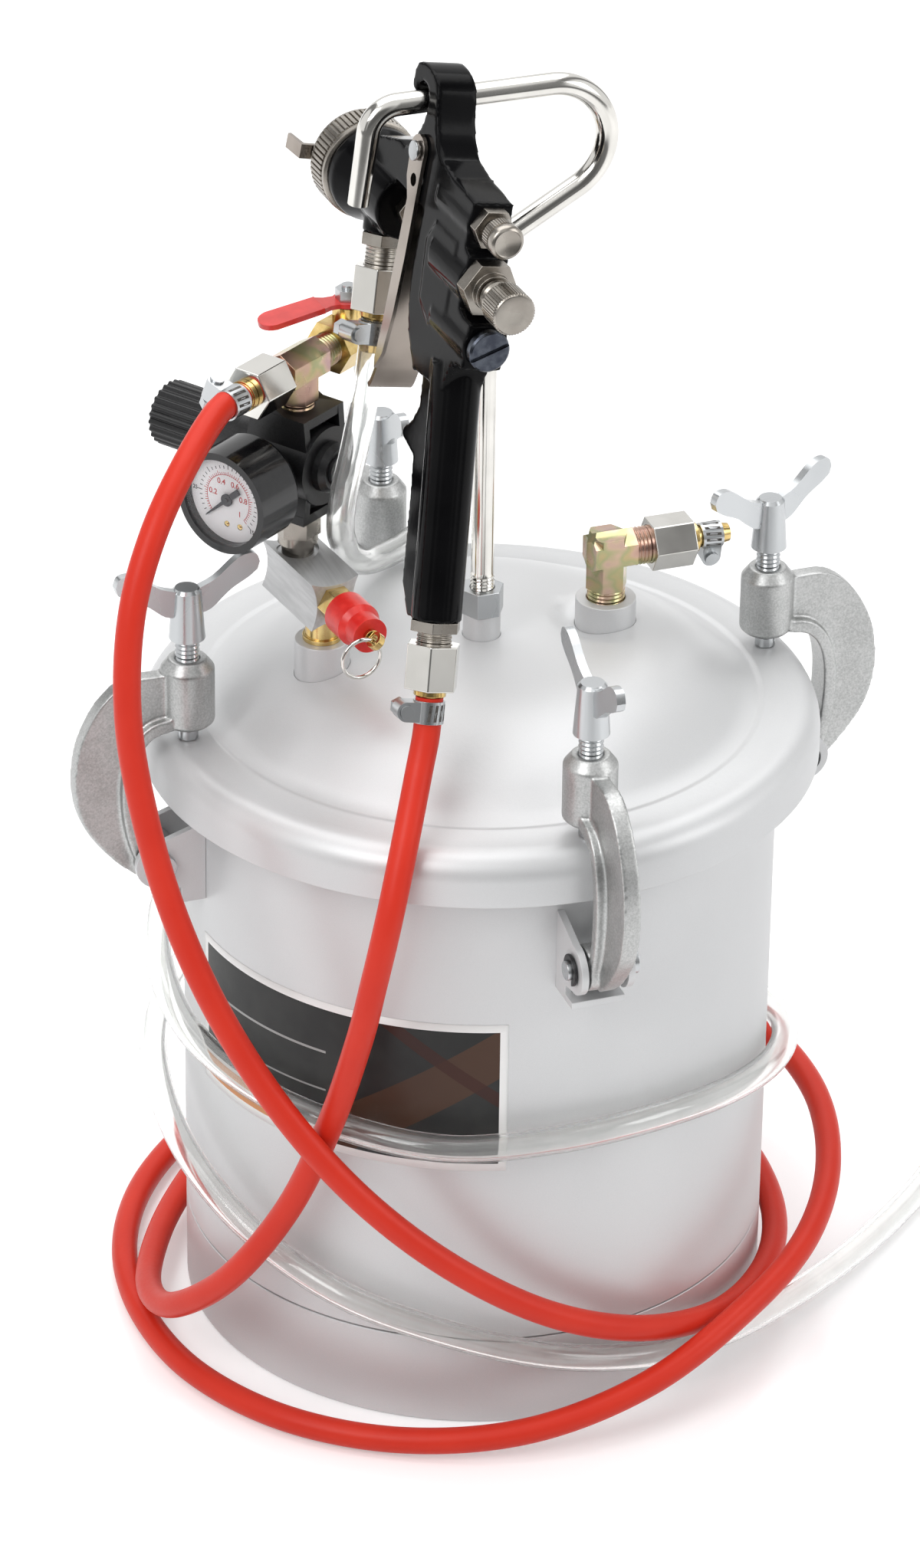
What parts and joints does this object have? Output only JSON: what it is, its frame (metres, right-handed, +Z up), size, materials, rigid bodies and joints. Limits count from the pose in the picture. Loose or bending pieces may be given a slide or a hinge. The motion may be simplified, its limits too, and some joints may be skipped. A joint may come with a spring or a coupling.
{
  "type": "pressure feed pot",
  "caption": "Pressure feed pot with a domed lid held by swing clamps, an air regulator with gauge and safety valve, a bent handle rod carrying a spray gun, and red air and clear fluid hoses.",
  "frame": {"origin": "centre of the base skirt's lower edge, on the floor", "axes": "+Z up; +X across the lid from the air port to the outlet port; +Y to the back"},
  "size_m": [0.4453, 0.349, 0.5588],
  "materials": {
    "silver_paint": "satin silver paint",
    "zinc": "bright zinc plate on forged and turned steel",
    "nickel": "bright nickel plate",
    "yellow_zinc": "yellow passivated plate with a faint rainbow",
    "brass": "turned brass",
    "aluminium_block": "clear anodised extrusion",
    "black_plastic": "satin black",
    "black_enamel": "gloss black enamel",
    "red_plastic": "gloss red",
    "red_grip": "red dipped steel",
    "red_hose": "satin red hose",
    "clear_hose": "clear soft tube",
    "seal": "matt black",
    "dial_white": "matt white with printed scale",
    "pointer_black": "matt black",
    "lens": "clear",
    "dark_nickel": "dark nickel"
  },
  "bodies": {
    "pot": {"tank_shell": "silver_paint", "base_skirt": "silver_paint", "clamp_brackets": "silver_paint", "clamp_pins": "zinc", "lid": "silver_paint", "lid_gasket": "seal", "lid_ports": "silver_paint", "handle_rod": "nickel", "handle_nut": "zinc", "pickup_tube": "zinc", "outlet_elbow": "yellow_zinc", "hose_union_nuts": "nickel", "hose_barbs": "brass", "hose_clamps": "zinc", "port_nipple": "brass", "manifold_block": "aluminium_block", "safety_valve_body": "brass", "safety_valve_cap": "red_plastic", "regulator_swivel": "nickel", "regulator_body": "black_plastic", "regulator_plug": "black_plastic", "regulator_bonnet": "black_plastic", "gauge_case": "black_plastic", "gauge_dial": "dial_white", "gauge_lens": "lens", "air_tee": "yellow_zinc", "ball_valve_body": "brass", "air_hose": "red_hose", "fluid_hose": "clear_hose", "gun_body": "black_enamel", "fluid_nozzle": "nickel", "trigger_pin": "zinc", "gun_fittings": "nickel", "air_valve_plug": "dark_nickel"},
    "safety_stem": {"safety_valve_stem": "brass"},
    "pull_ring": {"pull_ring": "nickel"},
    "regulator_knob": {"regulator_knob": "black_plastic"},
    "gauge_pointer": {"gauge_pointer": "pointer_black"},
    "ball_valve": {"valve_stem": "zinc", "valve_lever": "red_grip"},
    "air_cap": {"air_cap": "nickel"},
    "cap_ring": {"cap_ring": "nickel"},
    "fluid_needle": {"fluid_needle": "nickel"},
    "trigger": {"trigger": "nickel"},
    "pattern_knob": {"pattern_knob": "nickel"},
    "fluid_knob": {"fluid_knob": "nickel"},
    "air_valve_stem": {"air_valve_stem": "nickel"},
    "clamp_arm_right": {"clamp_arm_right": "zinc"},
    "clamp_foot_right": {"clamp_foot_right": "zinc"},
    "clamp_screw_right": {"clamp_screw_right": "zinc"},
    "clamp_arm_back": {"clamp_arm_back": "zinc"},
    "clamp_foot_back": {"clamp_foot_back": "zinc"},
    "clamp_screw_back": {"clamp_screw_back": "zinc"},
    "clamp_arm_left": {"clamp_arm_left": "zinc"},
    "clamp_foot_left": {"clamp_foot_left": "zinc"},
    "clamp_screw_left": {"clamp_screw_left": "zinc"},
    "clamp_arm_front": {"clamp_arm_front": "zinc"},
    "clamp_foot_front": {"clamp_foot_front": "zinc"},
    "clamp_screw_front": {"clamp_screw_front": "zinc"}
  },
  "joints": [
    {"name": "clamp_arm_right_swing", "type": "hinge", "parent": "pot", "child": "clamp_arm_right", "pos_m": [0.141, 0, 0.228], "axis": [0, 1, 0], "range_deg": [0, 70]},
    {"name": "clamp_foot_right_lift", "type": "slide", "parent": "clamp_arm_right", "child": "clamp_foot_right", "axis": [0, 0, 1], "range_m": [0, 0.004]},
    {"name": "clamp_screw_right_turn", "type": "hinge", "parent": "clamp_foot_right", "child": "clamp_screw_right", "pos_m": [0.1255, 0, 0.279], "axis": [0, 0, 1], "range_deg": [0, 720]},
    {"name": "clamp_arm_back_swing", "type": "hinge", "parent": "pot", "child": "clamp_arm_back", "pos_m": [0, 0.141, 0.228], "axis": [-1, 0, 0], "range_deg": [0, 70]},
    {"name": "clamp_foot_back_lift", "type": "slide", "parent": "clamp_arm_back", "child": "clamp_foot_back", "axis": [0, 0, 1], "range_m": [0, 0.004]},
    {"name": "clamp_screw_back_turn", "type": "hinge", "parent": "clamp_foot_back", "child": "clamp_screw_back", "pos_m": [0, 0.1255, 0.279], "axis": [0, 0, 1], "range_deg": [0, 720]},
    {"name": "clamp_arm_left_swing", "type": "hinge", "parent": "pot", "child": "clamp_arm_left", "pos_m": [-0.141, 0, 0.228], "axis": [0, -1, 0], "range_deg": [0, 70]},
    {"name": "clamp_foot_left_lift", "type": "slide", "parent": "clamp_arm_left", "child": "clamp_foot_left", "axis": [0, 0, 1], "range_m": [0, 0.004]},
    {"name": "clamp_screw_left_turn", "type": "hinge", "parent": "clamp_foot_left", "child": "clamp_screw_left", "pos_m": [-0.1255, 0, 0.279], "axis": [0, 0, 1], "range_deg": [0, 720]},
    {"name": "clamp_arm_front_swing", "type": "hinge", "parent": "pot", "child": "clamp_arm_front", "pos_m": [0, -0.141, 0.228], "axis": [1, 0, 0], "range_deg": [0, 70]},
    {"name": "clamp_foot_front_lift", "type": "slide", "parent": "clamp_arm_front", "child": "clamp_foot_front", "axis": [0, 0, 1], "range_m": [0, 0.004]},
    {"name": "clamp_screw_front_turn", "type": "hinge", "parent": "clamp_foot_front", "child": "clamp_screw_front", "pos_m": [0, -0.1255, 0.279], "axis": [0, 0, 1], "range_deg": [0, 720]},
    {"name": "trigger_pull", "type": "hinge", "parent": "pot", "child": "trigger", "pos_m": [-0.02291, -0.01017, 0.52633], "axis": [-0.9803, -0.0514, 0.1908], "range_deg": [0, 9.5], "stiffness_Nm_per_rad": 5, "springref_deg": -5.73},
    {"name": "fluid_needle_travel", "type": "slide", "parent": "pot", "child": "fluid_needle", "axis": [0.0523, -0.9986, 0], "range_m": [0, 0.0055]},
    {"name": "air_valve_travel", "type": "slide", "parent": "pot", "child": "air_valve_stem", "axis": [0.0523, -0.9986, 0], "range_m": [0, 0.0092]},
    {"name": "fluid_knob_turn", "type": "hinge", "parent": "pot", "child": "fluid_knob", "pos_m": [-0.02472, -0.09037, 0.49541], "axis": [0.0523, -0.9986, 0], "range_deg": [0, 1080]},
    {"name": "pattern_knob_turn", "type": "hinge", "parent": "pot", "child": "pattern_knob", "pos_m": [-0.02132, -0.07517, 0.51701], "axis": [0.0523, -0.9986, 0], "range_deg": [0, 1080]},
    {"name": "cap_ring_turn", "type": "hinge", "parent": "pot", "child": "cap_ring", "pos_m": [-0.03231, 0.05443, 0.49541], "axis": [-0.0523, 0.9986, 0], "range_deg": [0, 720]},
    {"name": "air_cap_turn", "type": "hinge", "parent": "pot", "child": "air_cap", "pos_m": [-0.03247, 0.05743, 0.49541], "axis": [-0.0523, 0.9986, 0], "range_deg": [-90, 90]},
    {"name": "regulator_knob_turn", "type": "hinge", "parent": "pot", "child": "regulator_knob", "pos_m": [-0.09952, 0.06324, 0.387], "axis": [-0.5592, 0.829, 0], "range_deg": [-540, 540]},
    {"name": "gauge_pointer_turn", "type": "hinge", "parent": "pot", "child": "gauge_pointer", "pos_m": [-0.10887, -0.00338, 0.3855], "axis": [0.829, 0.5592, 0], "range_deg": [0, 270], "stiffness_Nm_per_rad": 0.0005, "springref_deg": -17.19},
    {"name": "ball_valve_turn", "type": "hinge", "parent": "pot", "child": "ball_valve", "pos_m": [-0.0442, 0.04024, 0.427], "axis": [0, 0, 1], "range_deg": [-60, 30]},
    {"name": "safety_valve_pull", "type": "slide", "parent": "pot", "child": "safety_stem", "axis": [0.1392, -0.9903, 0], "range_m": [0, 0.003], "stiffness_N_per_m": 2500, "springref_m": -0.004},
    {"name": "pull_ring_swing", "type": "hinge", "parent": "safety_stem", "child": "pull_ring", "pos_m": [-0.06241, -0.04711, 0.33547], "axis": [-0.7002, -0.0984, 0.7071], "range_deg": [-25, 90]}
  ],
  "couplings": [
    {"joint": "fluid_needle_travel", "follows": "trigger_pull", "m_per_rad": 0.0325},
    {"joint": "air_valve_travel", "follows": "trigger_pull", "m_per_rad": 0.0545},
    {"joint": "clamp_foot_right_lift", "follows": "clamp_screw_right_turn", "m_per_rad": 0.000318},
    {"joint": "clamp_foot_back_lift", "follows": "clamp_screw_back_turn", "m_per_rad": 0.000318},
    {"joint": "clamp_foot_left_lift", "follows": "clamp_screw_left_turn", "m_per_rad": 0.000318},
    {"joint": "clamp_foot_front_lift", "follows": "clamp_screw_front_turn", "m_per_rad": 0.000318}
  ]
}
